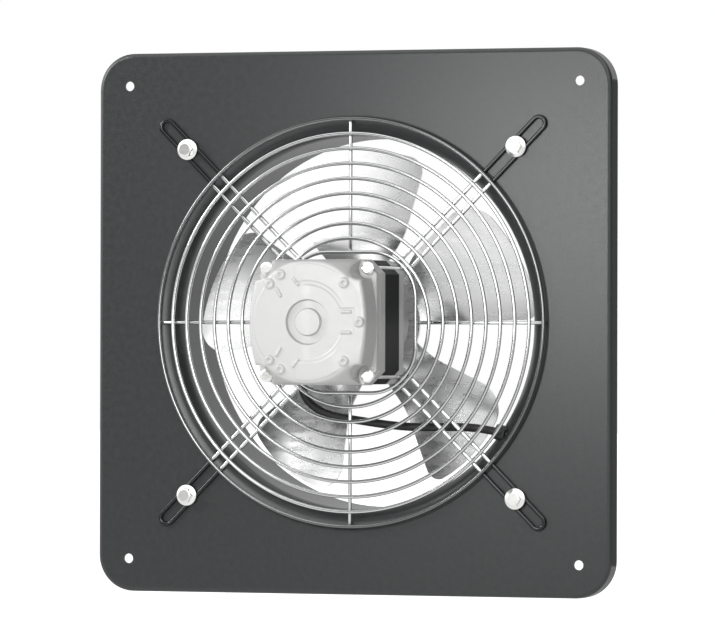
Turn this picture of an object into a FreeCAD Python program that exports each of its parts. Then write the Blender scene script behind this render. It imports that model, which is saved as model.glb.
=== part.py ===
import FreeCAD, Part

import math
import os

import Sketcher
from FreeCAD import Placement, Rotation, Vector

# Plate-mounted axial exhaust fan. Millimetres. X is to the right and Z is up when the guard is looked at,
# and +Y runs into the wall, the way the air goes. The origin is on the fan axis, in the plate's front face.

doc = FreeCAD.newDocument("exhaust_fan")

# ---------------------------------------------------------------- driving dimensions
SIZES = {
    "plate_side": 370.0,            # outside width and height of the mounting plate
    "plate_corner": 25.0,           # radius of the plate's corners
    "plate_depth": 14.0,            # front face to the rear rim of the return edge
    "plate_sheet": 1.5,             # sheet thickness
    "plate_edge": 3.0,              # rounding where the face turns into the return edge
    "wall_hole_pitch": 325.0,       # square pattern of the fixing holes
    "wall_hole_dia": 6.6,
    "guard_bolt_pitch": 237.0,      # square pattern of the guard's bolts
    "guard_bolt_dia": 6.0,
    "guard_hole_dia": 6.6,
    "mouth_curve": 14.5,            # radius of the drawn bell mouth, on its air side
    "throat_dia": 254.0,            # inside of the straight nozzle
    "nozzle_end": 72.0,             # how far the nozzle reaches behind the plate's face
    "ring_first": 138.7,            # centreline radius of the outermost guard ring
    "ring_step": 10.18,             # from one ring to the next
    "ring_wire": 2.5,
    "arm_wire": 2.8,
    "arm_gap": 9.0,                 # between the two legs of a hairpin arm, centre to centre
    "arm_start": 50.9,              # centres of the arm's two round ends, from the axis
    "arm_end": 189.5,
    "motor_ring_side": 95.5,
    "motor_ring_corner": 32.0,
    "spoke_start": 46.5,
    "spoke_end": 140.0,
    "motor_side": 83.3,             # square of the laminations
    "motor_chamfer": 9.4,
    "motor_bolt_pitch": 72.0,
    "motor_bolt_dia": 3.8,
    "motor_bolt_notch": 4.6,
    "stack_front": -49.6,           # viewer's side of the laminations
    "stack_back": -20.1,            # blade side of the laminations
    "cover_top": -86.5,             # flat face of the rear end shield
    "cover_lip": -59.0,
    "cover_round": 41.6,            # radius of the flat face
    "pocket_floor": -65.0,
    "pocket_radius": 7.4,
    "coil_room": 34.6,              # radius of the space for the windings
    "rotor_radius": 22.0,
    "air_gap": 0.35,
    "shaft_dia": 8.0,
    "bush_clearance": 0.03,         # radial, between shaft and bush
    "hub_plane": 34.0,              # mid height of the impeller's flat centre
    "disc_radius": 38.0,
    "disc_half": 1.4,
    "tip_radius": 117.0,
    "blade_sheet": 1.8,             # measured along the fan axis
    "lead_dia": 5.6,
    "grommet_dia": 8.4,
    "grommet_flange": 10.6,
    "m6_flange_dia": 14.2,          # guard bolts: flanged hexagon heads
    "m6_head_radius": 5.2,          # over the corners of the hexagon
    "m6_head_height": 6.2,
    "m6_shank": 12.8,
    "m6_washer_dia": 12.4,
    "m6_washer": 1.2,
    "m6_nut_radius": 5.75,
    "m6_nut": 4.8,
    "m4_head_dia": 8.6,             # motor screws: slotted pan heads
    "m4_head_height": 4.2,
    "m4_washer_dia": 12.0,
    "m4_washer": 1.0,
    "m4_nut_radius": 4.0,
    "m4_nut": 3.2,
    "pole_width": 16.0,
    "pole_shoe_width": 27.0,
    "pole_shoe_radius": 27.0,
    "bush_radius": 8.0,             # spherical outside of each bush
    "bush_length": 10.0,
    "recess_radius": 15.0,          # groove round the middle of the cover's face
    "recess_depth": 2.4,
    "recess_centre": 9.0,
    "boss_ring": 36.9,              # circle that the cover's small bosses stand on
    "boss_height": 1.5,
    "cage_radius": 21.0,
    "hub_flange_radius": 20.0,
    "hub_boss_radius": 9.0,
    "hub_flange": 3.0,
    "hub_length": 8.0,
    "rivet_dia": 4.0,
}

RIVET_CIRCLE = 14.0                 # radius of the circle of hub rivets

RING_COUNT = 9
BLADE_COUNT = 5
BLADE_RISE = 50.0                   # height gained per unit of tangent across the blade
FIRST_BLADE = 25.0                  # angle of the middle of the first blade
ALONG_Y = Rotation(Vector(1, 0, 0), -90)
TOWARDS_VIEWER = Rotation(Vector(1, 0, 0), 90)

sheet = doc.addObject("Spreadsheet::Sheet", "sizes")
for row, (alias, size) in enumerate(SIZES.items(), 1):
    sheet.set(f"A{row}", alias)
    sheet.set(f"B{row}", str(size))
    sheet.setAlias(f"B{row}", alias)
doc.recompute()

nodes = []


def publish(piece, label):
    """Give a finished sub-part its node name and list it for export."""
    piece.Label = label
    nodes.append(piece)
    return piece


def bind(piece, **sizes):
    """Bind properties to expressions on the sheet; plain numbers are set as they are."""
    for name, size in sizes.items():
        if isinstance(size, str):
            piece.setExpression(name, size)
        else:
            setattr(piece, name, size)


def place(piece, x, y, z, turn):
    """Set a placement whose coordinates may be numbers or expressions."""
    piece.Placement = Placement(Vector(), turn)
    for axis, size in (("x", x), ("y", y), ("z", z)):
        if isinstance(size, str):
            piece.setExpression(f"Placement.Base.{axis}", size)
        else:
            moved = piece.Placement
            setattr(moved.Base, axis, size)
            piece.Placement = moved


def cylinder(name, radius, length, y, x=0.0, z=0.0, turn=ALONG_Y):
    """Cylinder from the given y; along +Y unless it is turned."""
    piece = doc.addObject("Part::Cylinder", name)
    bind(piece, Radius=radius, Height=length)
    place(piece, x, y, z, turn)
    return piece


def cone(name, radius_1, radius_2, length, y, x=0.0, z=0.0, turn=ALONG_Y):
    piece = doc.addObject("Part::Cone", name)
    bind(piece, Radius1=radius_1, Radius2=radius_2, Height=length)
    place(piece, x, y, z, turn)
    return piece


def box(name, width, depth, height, x, y, z, turn=Rotation()):
    piece = doc.addObject("Part::Box", name)
    bind(piece, Length=width, Width=depth, Height=height)
    place(piece, x, y, z, turn)
    return piece


def torus(name, radius, section, y):
    piece = doc.addObject("Part::Torus", name)
    bind(piece, Radius1=radius, Radius2=section)
    place(piece, 0.0, y, 0.0, ALONG_Y)
    return piece


def hexagon(name, circumradius, length, y, x, z):
    piece = doc.addObject("Part::Prism", name)
    piece.Polygon = 6
    bind(piece, Circumradius=circumradius, Height=length)
    place(piece, x, y, z, ALONG_Y)
    return piece


def cut(name, base, tool):
    piece = doc.addObject("Part::Cut", name)
    piece.Base = base
    piece.Tool = tool
    return piece


def fuse(name, shapes):
    piece = doc.addObject("Part::MultiFuse", name)
    piece.Shapes = shapes
    piece.Refine = True
    return piece


def common(name, shapes):
    piece = doc.addObject("Part::MultiCommon", name)
    piece.Shapes = shapes
    return piece


def group(name, pieces):
    """Several separate solids that share one node."""
    piece = doc.addObject("Part::Compound", name)
    piece.Links = pieces
    return piece


def feature(name, shape):
    piece = doc.addObject("Part::Feature", name)
    piece.Shape = shape
    return piece


def chamfered_square(name, side, chamfer, length, y):
    """Square block on the axis with its four long edges cut at 45 degrees."""
    half = f"-({side}) / 2"
    straight = box(f"{name}_square", side, length, side, half, y, half)
    turned_side = f"sqrt(2) * ({side} - ({chamfer}))"
    turned = box(f"{name}_turned", turned_side, length, turned_side,
                 f"-({turned_side}) / sqrt(2)", y, 0.0, Rotation(Vector(0, 1, 0), 45))
    return common(name, [straight, turned])


def four_corners(pitch):
    """Centres of a square pattern, as pairs of expressions."""
    return [(f"{sx} * {pitch} / 2", f"{sz} * {pitch} / 2") for sx in (1, -1) for sz in (1, -1)]


def rounded_square(sketch, side, radius):
    """Square outline on the sketch's origin with round corners; side and radius are bound to the sheet."""
    guess_half = 50.0
    guess_radius = 20.0
    flat = guess_half - guess_radius
    corners = ((flat, flat, 0), (-flat, flat, 90), (-flat, -flat, 180), (flat, -flat, 270))
    for centre_x, centre_z, start in corners:
        circle = Part.Circle(Vector(centre_x, centre_z, 0), Vector(0, 0, 1), guess_radius)
        sketch.addGeometry(Part.ArcOfCircle(circle, math.radians(start), math.radians(start + 90)), False)
    for corner in range(4):
        begin = sketch.Geometry[corner].EndPoint
        end = sketch.Geometry[(corner + 1) % 4].StartPoint
        sketch.addGeometry(Part.LineSegment(begin, end), False)
    for corner in range(4):
        sketch.addConstraint(Sketcher.Constraint("Tangent", corner, 2, 4 + corner, 1))
        sketch.addConstraint(Sketcher.Constraint("Tangent", 4 + corner, 2, (corner + 1) % 4, 1))
    for corner in (1, 2, 3):
        sketch.addConstraint(Sketcher.Constraint("Equal", 0, corner))
    for line in (4, 6):
        sketch.addConstraint(Sketcher.Constraint("Horizontal", line))
    for line in (5, 7):
        sketch.addConstraint(Sketcher.Constraint("Vertical", line))
    sketch.addConstraint(Sketcher.Constraint("Symmetric", 0, 3, 2, 3, -1, 1))
    radius_rule = sketch.addConstraint(Sketcher.Constraint("Radius", 0, guess_radius))
    sketch.setExpression(f"Constraints[{radius_rule}]", radius)
    width_rule = sketch.addConstraint(Sketcher.Constraint("DistanceX", 5, 1, 7, 1, 2 * guess_half))
    sketch.setExpression(f"Constraints[{width_rule}]", side)
    height_rule = sketch.addConstraint(Sketcher.Constraint("DistanceY", 6, 1, 4, 1, 2 * guess_half))
    sketch.setExpression(f"Constraints[{height_rule}]", side)


def hairpin(sketch, start, end, gap):
    """Long closed loop of wire: two legs side by side, joined by a half circle at each end."""
    guess_start, guess_end, guess_half = 50.0, 190.0, 4.5
    upright = Vector(0, 0, 1)
    outer = Part.Circle(Vector(guess_end, 0, 0), upright, guess_half)
    inner = Part.Circle(Vector(guess_start, 0, 0), upright, guess_half)
    sketch.addGeometry(Part.ArcOfCircle(outer, -math.pi / 2, math.pi / 2), False)
    sketch.addGeometry(Part.ArcOfCircle(inner, math.pi / 2, 3 * math.pi / 2), False)
    sketch.addGeometry(Part.LineSegment(sketch.Geometry[0].EndPoint, sketch.Geometry[1].StartPoint), False)
    sketch.addGeometry(Part.LineSegment(sketch.Geometry[1].EndPoint, sketch.Geometry[0].StartPoint), False)
    for first, first_end, second, second_end in ((0, 2, 2, 1), (2, 2, 1, 1), (1, 2, 3, 1), (3, 2, 0, 1)):
        sketch.addConstraint(Sketcher.Constraint("Tangent", first, first_end, second, second_end))
    sketch.addConstraint(Sketcher.Constraint("PointOnObject", 0, 3, -1))
    sketch.addConstraint(Sketcher.Constraint("PointOnObject", 1, 3, -1))
    rules = (("Radius", (0,), f"({gap}) / 2", guess_half),
             ("DistanceX", (-1, 1, 0, 3), end, guess_end),
             ("DistanceX", (-1, 1, 1, 3), start, guess_start))
    for kind, where, rule, guess in rules:
        number = sketch.addConstraint(Sketcher.Constraint(kind, *where, guess))
        sketch.setExpression(f"Constraints[{number}]", rule)


def plane_of(body, role):
    return [plane for plane in body.Origin.OriginFeatures if plane.Role == role][0]


def sketch_in(body, name, offset="0"):
    """Sketch facing the viewer, at the given y (an expression)."""
    sketch = body.newObject("Sketcher::SketchObject", name)
    sketch.AttachmentSupport = [(plane_of(body, "XZ_Plane"), "")]
    sketch.MapMode = "FlatFace"
    sketch.setExpression("AttachmentOffset.Base.z", f"-({offset})")
    return sketch


def bent_wire(name, sketch, edge_count, section_x, section_z, section_turn, wire, y):
    """Round wire swept along a closed flat sketch."""
    section = doc.addObject("Part::Circle", f"{name}_section")
    bind(section, Radius=f"({wire}) / 2")
    place(section, section_x, y, section_z, section_turn)
    sweep = doc.addObject("Part::Sweep", name)
    sweep.Sections = [section]
    sweep.Spine = (sketch, [f"Edge{number + 1}" for number in range(edge_count)])
    sweep.Solid = True
    return sweep


# ---------------------------------------------------------------- mounting plate
def make_plate_blank():
    """Pressed steel tray with a drawn bell mouth and nozzle, before the lead's hole is made."""
    body = doc.addObject("PartDesign::Body", "plate_blank")
    outline = sketch_in(body, "plate_outline")
    rounded_square(outline, "sizes.plate_side", "sizes.plate_corner")
    pad = body.newObject("PartDesign::Pad", "plate_pad")
    pad.Profile = outline
    pad.setExpression("Length", "sizes.plate_depth")
    pad.Reversed = True
    doc.recompute()
    front = [f"Face{number + 1}" for number, face in enumerate(pad.Shape.Faces)
             if abs(face.CenterOfMass.y) < 0.01]
    edge = body.newObject("PartDesign::Fillet", "plate_edge_round")
    edge.Base = (pad, front)
    edge.setExpression("Radius", "sizes.plate_edge")
    inside = sketch_in(body, "plate_inside", "sizes.plate_sheet")
    rounded_square(inside, "sizes.plate_side - 2 * sizes.plate_sheet",
                   "sizes.plate_corner - sizes.plate_sheet")
    tray = body.newObject("PartDesign::Pocket", "plate_tray")
    tray.Profile = inside
    tray.setExpression("Length", "sizes.plate_depth")
    doc.recompute()
    floor = [f"Face{number + 1}" for number, face in enumerate(tray.Shape.Faces)
             if face.Area > 50000.0 and face.CenterOfMass.y > 1.0]
    inner_edge = body.newObject("PartDesign::Fillet", "plate_inner_round")
    inner_edge.Base = (tray, floor)
    inner_edge.setExpression("Radius", "sizes.plate_edge - sizes.plate_sheet")

    openings = sketch_in(body, "plate_holes")
    centre = Part.Circle(Vector(0, 0, 0), Vector(0, 0, 1), 141.0)
    openings.addGeometry(centre, False)
    openings.addConstraint(Sketcher.Constraint("Coincident", 0, 3, -1, 1))
    mouth = openings.addConstraint(Sketcher.Constraint("Radius", 0, 141.0))
    openings.setExpression(f"Constraints[{mouth}]", "sizes.throat_dia / 2 + sizes.mouth_curve")
    for pitch, dia in (("wall_hole_pitch", "wall_hole_dia"), ("guard_bolt_pitch", "guard_hole_dia")):
        for side_x in (1, -1):
            for side_z in (1, -1):
                guess = SIZES[pitch] / 2
                hole = Part.Circle(Vector(side_x * guess, side_z * guess, 0), Vector(0, 0, 1), 3.0)
                index = openings.addGeometry(hole, False)
                rules = (("DistanceX", (-1, 1, index, 3), f"{side_x} * sizes.{pitch} / 2", side_x * guess),
                         ("DistanceY", (-1, 1, index, 3), f"{side_z} * sizes.{pitch} / 2", side_z * guess),
                         ("Radius", (index,), f"sizes.{dia} / 2", 3.0))
                for kind, where, rule, start in rules:
                    number = openings.addConstraint(Sketcher.Constraint(kind, *where, start))
                    openings.setExpression(f"Constraints[{number}]", rule)
    holes = body.newObject("PartDesign::Pocket", "plate_openings")
    holes.Profile = openings
    holes.Type = 1
    body.Tip = holes
    doc.recompute()

    mouth_radius = "sizes.throat_dia / 2 + sizes.mouth_curve"
    mouth_end = "sizes.mouth_curve"
    quarter = cylinder("mouth_quarter", mouth_radius, mouth_end, 0.0)
    air_side = torus("mouth_air_side", mouth_radius, "sizes.mouth_curve", mouth_end)
    back_side = torus("mouth_back_side", mouth_radius, "sizes.mouth_curve - sizes.plate_sheet", mouth_end)
    mouth_ring = cut("mouth_ring", common("mouth_solid", [quarter, air_side]), back_side)
    nozzle_length = "sizes.nozzle_end - sizes.mouth_curve"
    nozzle_out = cylinder("nozzle_outside", "sizes.throat_dia / 2 + sizes.plate_sheet", nozzle_length,
                          mouth_end)
    nozzle_in = cylinder("nozzle_inside", "sizes.throat_dia / 2", nozzle_length, mouth_end)
    nozzle = cut("nozzle_wall", nozzle_out, nozzle_in)
    return fuse("plate_unpierced", [body, mouth_ring, nozzle])


# The lead runs to the right under the motor, through the bell mouth in a rubber grommet, and is coiled
# in the shallow space behind the plate.
GROMMET_CENTRE = Vector(105.6, 6.3, -74.2)
GROMMET_ANGLE = -12.0               # degrees from +X, in the plane of the plate
GROMMET_HALF = 3.4


def grommet_rod(name, radius, half_length):
    """Cylinder on the grommet's own axis."""
    turn = Rotation(Vector(0, 0, 1), Vector(math.cos(math.radians(GROMMET_ANGLE)), 0,
                                            math.sin(math.radians(GROMMET_ANGLE))))
    rod = doc.addObject("Part::Cylinder", name)
    bind(rod, Radius=radius, Height=2 * half_length)
    offset = turn.multVec(Vector(0, 0, -half_length))
    rod.Placement = Placement(GROMMET_CENTRE + offset, turn)
    return rod


def make_mounting_plate(blank):
    hole = grommet_rod("grommet_hole", "sizes.grommet_dia / 2", 14.0)
    publish(cut("mounting_plate", blank, hole), "mounting_plate")


def make_grommet(blank):
    """Rubber bush: a groove grips the edge of the hole, and the lead runs through its bore."""
    flange_blank = grommet_rod("grommet_blank", "sizes.grommet_flange / 2", GROMMET_HALF)
    flanges = cut("grommet_flanges", flange_blank, blank)
    sleeve = grommet_rod("grommet_sleeve", "sizes.grommet_dia / 2", GROMMET_HALF)
    bore = grommet_rod("grommet_bore", "sizes.lead_dia / 2 + 0.5", GROMMET_HALF + 1.0)
    publish(cut("nozzle_grommet", fuse("grommet_solid", [flanges, sleeve]), bore), "nozzle_grommet")


# ---------------------------------------------------------------- guard
RING_PLANE = "-(sizes.arm_wire + sizes.ring_wire / 2)"


def make_guard_rings():
    """Round rings welded on the viewer's side of the spokes and arms."""
    for number in range(RING_COUNT):
        ring = torus(f"ring_{number + 1}", f"sizes.ring_first - {number} * sizes.ring_step",
                     "sizes.ring_wire / 2", RING_PLANE)
        publish(ring, f"guard_ring_{number + 1}")


def make_motor_ring():
    path = doc.addObject("Sketcher::SketchObject", "motor_ring_path")
    rounded_square(path, "sizes.motor_ring_side", "sizes.motor_ring_corner")
    place(path, 0.0, RING_PLANE, 0.0, TOWARDS_VIEWER)
    ring = bent_wire("motor_ring", path, 8, 0.0, "sizes.motor_ring_side / 2",
                     Rotation(Vector(0, 1, 0), 90), "sizes.ring_wire", RING_PLANE)
    publish(ring, "guard_motor_ring")


def make_guard_arms():
    """Four hairpins of heavier wire carry the motor and are bolted to the plate."""
    for number in range(4):
        path = doc.addObject("Sketcher::SketchObject", f"arm_path_{number + 1}")
        hairpin(path, "sizes.arm_start", "sizes.arm_end", "sizes.arm_gap")
        path.Placement = Placement(Vector(), TOWARDS_VIEWER)
        arm = bent_wire(f"arm_{number + 1}", path, 4, "(sizes.arm_start + sizes.arm_end) / 2",
                        "sizes.arm_gap / 2", Rotation(Vector(0, 1, 0), 90), "sizes.arm_wire", 0.0)
        arm.Placement = Placement(Vector(), Rotation(Vector(0, 1, 0), -45 - 90 * number))
        arm.setExpression("Placement.Base.y", "-sizes.arm_wire / 2")
        publish(arm, f"guard_arm_{number + 1}")


def make_guard_spokes():
    for number in range(4):
        spoke = doc.addObject("Part::Cylinder", f"spoke_{number + 1}")
        bind(spoke, Radius="sizes.ring_wire / 2", Height="sizes.spoke_end - sizes.spoke_start")
        angle = math.radians(90 * number)
        outward = Vector(round(math.cos(angle)), 0, round(math.sin(angle)))
        place(spoke, f"{outward.x} * sizes.spoke_start", "-(sizes.arm_wire - sizes.ring_wire / 2)",
              f"{outward.z} * sizes.spoke_start", Rotation(Vector(0, 0, 1), outward))
        publish(spoke, f"guard_spoke_{number + 1}")


def make_guard_fasteners():
    """Flanged hexagon bolts through the arms and the plate, with a washer and a nut behind."""
    bolts, washers, nuts = [], [], []
    seat = "-sizes.arm_wire"
    top = "-sizes.arm_wire - sizes.m6_head_height"
    behind = "sizes.plate_sheet"
    nut_seat = "sizes.plate_sheet + sizes.m6_washer"
    rim, slope, crown = 0.9, 1.5, 1.2
    for number, (x, z) in enumerate(four_corners("sizes.guard_bolt_pitch")):
        tag = f"guard_bolt_{number + 1}"
        shank = cylinder(f"{tag}_shank", "sizes.guard_bolt_dia / 2", "sizes.m6_shank", seat, x, z)
        flange = cylinder(f"{tag}_rim", "sizes.m6_flange_dia / 2", rim, f"{seat} - {rim}", x, z)
        shoulder = cone(f"{tag}_flange", "sizes.m6_head_radius - 0.3", "sizes.m6_flange_dia / 2", slope,
                        f"{seat} - {rim} - {slope}", x, z)
        head = hexagon(f"{tag}_hex", "sizes.m6_head_radius", "sizes.m6_head_height - 1.8", top, x, z)
        chamfer = cone(f"{tag}_crown", "sizes.m6_head_radius - 1.3", "sizes.m6_head_radius + 0.7", crown,
                       top, x, z)
        barrel = cylinder(f"{tag}_barrel", "sizes.m6_head_radius + 0.7", "sizes.m6_head_height",
                          f"{top} + {crown}", x, z)
        trimmed = common(f"{tag}_head", [head, fuse(f"{tag}_trim", [chamfer, barrel])])
        bolts.append(fuse(tag, [shank, flange, shoulder, trimmed]))
        washer = cylinder(f"{tag}_washer_out", "sizes.m6_washer_dia / 2", "sizes.m6_washer", behind, x, z)
        washer_hole = cylinder(f"{tag}_washer_in", "sizes.guard_bolt_dia / 2 + 0.2", "sizes.m6_washer",
                               behind, x, z)
        washers.append(cut(f"{tag}_washer", washer, washer_hole))
        nut = hexagon(f"{tag}_nut_blank", "sizes.m6_nut_radius", "sizes.m6_nut", nut_seat, x, z)
        thread = cylinder(f"{tag}_nut_bore", "sizes.guard_bolt_dia / 2", "sizes.m6_nut", nut_seat, x, z)
        nuts.append(cut(f"{tag}_nut", nut, thread))
    publish(group("guard_bolt_set", bolts), "guard_bolts")
    publish(group("guard_washer_set", washers), "guard_washers")
    publish(group("guard_nut_set", nuts), "guard_nuts")


# ---------------------------------------------------------------- motor
def corner_notches(name, y, length, dia):
    """Rods on the through-bolt centres, used to clear the bolts."""
    rods = [cylinder(f"{name}_{number + 1}", f"({dia}) / 2", length, y, x, z)
            for number, (x, z) in enumerate(four_corners("sizes.motor_bolt_pitch"))]
    return fuse(name, rods)


def make_stator():
    """Square stack of laminations with four wide poles and round-backed bolt notches."""
    length = "sizes.stack_back - sizes.stack_front"
    front = "sizes.stack_front"
    block = chamfered_square("stack_block", "sizes.motor_side", "sizes.motor_chamfer", length, front)
    room = cylinder("stack_room", "sizes.coil_room", length, front)
    yoke = cut("stack_yoke", block, room)
    poles = []
    for number in range(4):
        turn = Rotation(Vector(0, 1, 0), 90 * number)
        pole = doc.addObject("Part::Box", f"pole_{number + 1}")
        bind(pole, Length="sizes.pole_width", Width=length, Height="sizes.coil_room")
        pole.Placement = Placement(turn.multVec(Vector(-SIZES["pole_width"] / 2, 0, 1)), turn)
        pole.setExpression("Placement.Base.y", front)
        shoe = doc.addObject("Part::Box", f"shoe_{number + 1}")
        bind(shoe, Length="sizes.pole_shoe_width", Width=length, Height="sizes.pole_shoe_radius + 0.5")
        shoe.Placement = Placement(turn.multVec(Vector(-SIZES["pole_shoe_width"] / 2, 0, 0)), turn)
        shoe.setExpression("Placement.Base.y", front)
        poles += [pole, shoe]
    shoe_limit = cylinder("shoe_limit", "sizes.pole_shoe_radius", length, front)
    shoes = common("pole_shoes", [fuse("shoe_blanks", poles[1::2]), shoe_limit])
    iron = fuse("stack_iron", [yoke, shoes] + poles[0::2])
    bore = cylinder("stack_bore", "sizes.rotor_radius + sizes.air_gap", length, front)
    bored = cut("stack_bored", iron, bore)
    notches = corner_notches("stack_notch", front, length, "sizes.motor_bolt_notch")
    publish(cut("stator_stack", bored, notches), "stator_stack")


def pole_frame(name, turn, width, length, low, high, inner_width, inner_length):
    """Rectangular ring round one pole, between two radii."""
    middle = (SIZES["stack_front"] + SIZES["stack_back"]) / 2
    outer = doc.addObject("Part::Box", f"{name}_outer")
    bind(outer, Length=width, Width=length, Height=high - low)
    outer.Placement = Placement(turn.multVec(Vector(-width / 2, middle - length / 2, low)), turn)
    inner = doc.addObject("Part::Box", f"{name}_inner")
    bind(inner, Length=inner_width, Width=inner_length, Height=high - low)
    inner.Placement = Placement(turn.multVec(Vector(-inner_width / 2, middle - inner_length / 2, low)), turn)
    return cut(name, outer, inner)


def make_windings():
    """A moulded bobbin and a copper coil round each pole, and a copper shading ring in each pole face."""
    stack = SIZES["stack_back"] - SIZES["stack_front"]
    pole = SIZES["pole_width"]
    former = pole + 2.4                 # outside width of a bobbin
    former_length = stack + 3.0
    coil_width = 25.0
    coil_length = stack + 14.0
    bobbins, coils, shades = [], [], []
    for number in range(4):
        turn = Rotation(Vector(0, 1, 0), 90 * number)
        bobbins.append(pole_frame(f"bobbin_{number + 1}", turn, former, former_length, 27.2, 31.2,
                                  pole, stack))
        coils.append(pole_frame(f"coil_{number + 1}", turn, coil_width, coil_length, 27.4, 31.0,
                                former, former_length))
        for side, y in (("front", SIZES["stack_front"] - 1.6), ("back", SIZES["stack_back"])):
            shade = doc.addObject("Part::Box", f"shade_{side}_{number + 1}")
            bind(shade, Length=9.0, Width=1.6, Height=2.4)
            shade.Placement = Placement(turn.multVec(Vector(-12.5, y, 23.6)), turn)
            shades.append(shade)
    publish(group("bobbin_set", bobbins), "coil_bobbins")
    publish(group("coil_set", coils), "stator_windings")
    publish(group("shade_set", shades), "shading_rings")


FLANK_BOW = 110.0                   # plan radius of the cover's left and right flanks
POCKET_EDGE = 28.6                  # the upright flanks reach this far above and below the axis


def cover_details():
    """Small round bosses with a dimple each, and short ribs left by the die."""
    details = []
    for number, angle in enumerate((0, 45, -45, 121, -121, 136.3, -136.3)):
        x = f"sizes.boss_ring * cos({angle} deg)"
        z = f"sizes.boss_ring * sin({angle} deg)"
        boss = cone(f"boss_{number + 1}", 2.4, 3.9, "sizes.boss_height + 0.3",
                    "sizes.cover_top - sizes.boss_height", x, z)
        dimple = cone(f"boss_dimple_{number + 1}", 1.7, 0.9, 1.0, "sizes.cover_top - sizes.boss_height", x, z)
        details.append(cut(f"boss_ring_{number + 1}", boss, dimple))
    length, width, height = 7.2, 1.8, 1.0
    ribs = ((27.6, 6.9, 0), (27.6, -6.9, 0), (-8.1, 27.2, 51.5), (-8.1, -27.2, -51.5),
            (-20.3, 19.9, 59.3), (-20.3, -19.9, -59.3))
    for number, (x, z, angle) in enumerate(ribs):
        turn = Rotation(Vector(0, 1, 0), angle)
        rib = doc.addObject("Part::Box", f"rib_{number + 1}")
        bind(rib, Length=length, Width=height + 0.3, Height=width)
        rib.Placement = Placement(Vector(x, 0, z) + turn.multVec(Vector(-length / 2, 0, -width / 2)), turn)
        rib.setExpression("Placement.Base.y", f"sizes.cover_top - {height}")
        details.append(rib)
    return details


def make_rear_end_shield():
    """Die-cast cover on the viewer's side: square foot, round face, bowed flanks, a pocket for each screw."""
    lip = chamfered_square("cover_lip", "sizes.motor_side + 1", "sizes.motor_chamfer",
                           "sizes.stack_front - sizes.cover_lip", "sizes.cover_lip")
    shoulder = chamfered_square("cover_shoulder", "sizes.motor_side", "sizes.motor_chamfer",
                                "sizes.cover_lip - sizes.pocket_floor", "sizes.pocket_floor")
    tower_height = "sizes.pocket_floor - sizes.cover_top"
    tower = chamfered_square("cover_tower", "sizes.motor_side", "sizes.motor_chamfer - 5", tower_height,
                             "sizes.cover_top")
    flank_centre = f"({FLANK_BOW} - sizes.cover_round)"
    flanks = [cylinder(f"cover_flank_{side}", FLANK_BOW, tower_height, "sizes.cover_top",
                       f"{sign}{flank_centre}") for side, sign in (("right", "-"), ("left", ""))]
    face_round, slope_reach, flank_drop = 1.5, 52.5, 1.0
    rim = cylinder("cover_rim", "sizes.cover_round", face_round, "sizes.cover_top")
    slope = cone("cover_slope", "sizes.cover_round", slope_reach, f"{tower_height} - {face_round}",
                 f"sizes.cover_top + {face_round}")
    middle = box("cover_middle", "sizes.motor_side", f"{tower_height} - {flank_drop}", 2 * POCKET_EDGE,
                 "-sizes.motor_side / 2", f"sizes.cover_top + {flank_drop}", -POCKET_EDGE)
    head = common("cover_head", [tower, fuse("cover_slopes", [rim, slope, middle])] + flanks)
    shell = fuse("cover_shell", [lip, shoulder, head])
    pockets = corner_notches("cover_pocket", "sizes.cover_top", tower_height, "2 * sizes.pocket_radius")
    ceiling = "sizes.stack_front - 26"
    room = cylinder("cover_room", "sizes.coil_room", 26.0, ceiling)
    bearing_room = cylinder("cover_bearing_room", 9.0, 8.0, f"{ceiling} - 6")
    bolt_holes = corner_notches("cover_bolt", "sizes.cover_top", "sizes.stack_front - sizes.cover_top",
                                "sizes.motor_bolt_notch")
    recess_disc = cylinder("recess_disc", "sizes.recess_radius", "sizes.recess_depth", "sizes.cover_top")
    recess_middle = cylinder("recess_middle", "sizes.recess_centre", "sizes.recess_depth", "sizes.cover_top")
    recess = cut("cover_recess", recess_disc, recess_middle)
    hollow = fuse("cover_hollow", [pockets, room, bearing_room, bolt_holes, recess])
    casting = cut("cover_casting", shell, hollow)
    cup_length, cup_wall = 17.5, 3.0
    cup_outside = cylinder("cup_out", f"sizes.bush_radius + {cup_wall}", cup_length, f"{ceiling} - 0.5")
    cup_inside = cylinder("cup_in", "sizes.bush_radius", cup_length, f"{ceiling} - 0.5")
    cup = cut("bearing_cup", cup_outside, cup_inside)
    publish(fuse("rear_end_shield", [casting, cup] + cover_details()), "rear_end_shield")


def make_front_end_shield():
    """Die-cast shield on the blade side; its four lugs stand on the guard's arms."""
    flange, body_radius, body_length, lug_dia, reach = 9.0, 38.0, 27.7, 12.6, 60.0
    plate = chamfered_square("shield_plate", "sizes.motor_side", "sizes.motor_chamfer", flange,
                             "sizes.stack_back")
    body = cylinder("shield_body", body_radius, body_length, "sizes.stack_back + 2")
    lugs = corner_notches("shield_lug", "sizes.stack_back", "-sizes.stack_back - sizes.arm_wire", lug_dia)
    square = chamfered_square("shield_limit", "sizes.motor_side", "sizes.motor_chamfer", reach,
                              "sizes.stack_back")
    shell = common("shield_shell", [fuse("shield_parts", [plate, body, lugs]), square])
    room = cylinder("shield_room", "sizes.coil_room", 20.0, "sizes.stack_back")
    bearing_hole = cylinder("shield_bearing_hole", "sizes.bush_radius", reach, "sizes.stack_back")
    bolt_holes = corner_notches("shield_bolt", "sizes.stack_back", reach, "sizes.motor_bolt_notch")
    hollow = fuse("shield_hollow", [room, bearing_hole, bolt_holes])
    publish(cut("front_end_shield", shell, hollow), "front_end_shield")


FRONT_BUSH = 3.0                    # y of the middle of each bush
REAR_BUSH = -69.0


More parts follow.
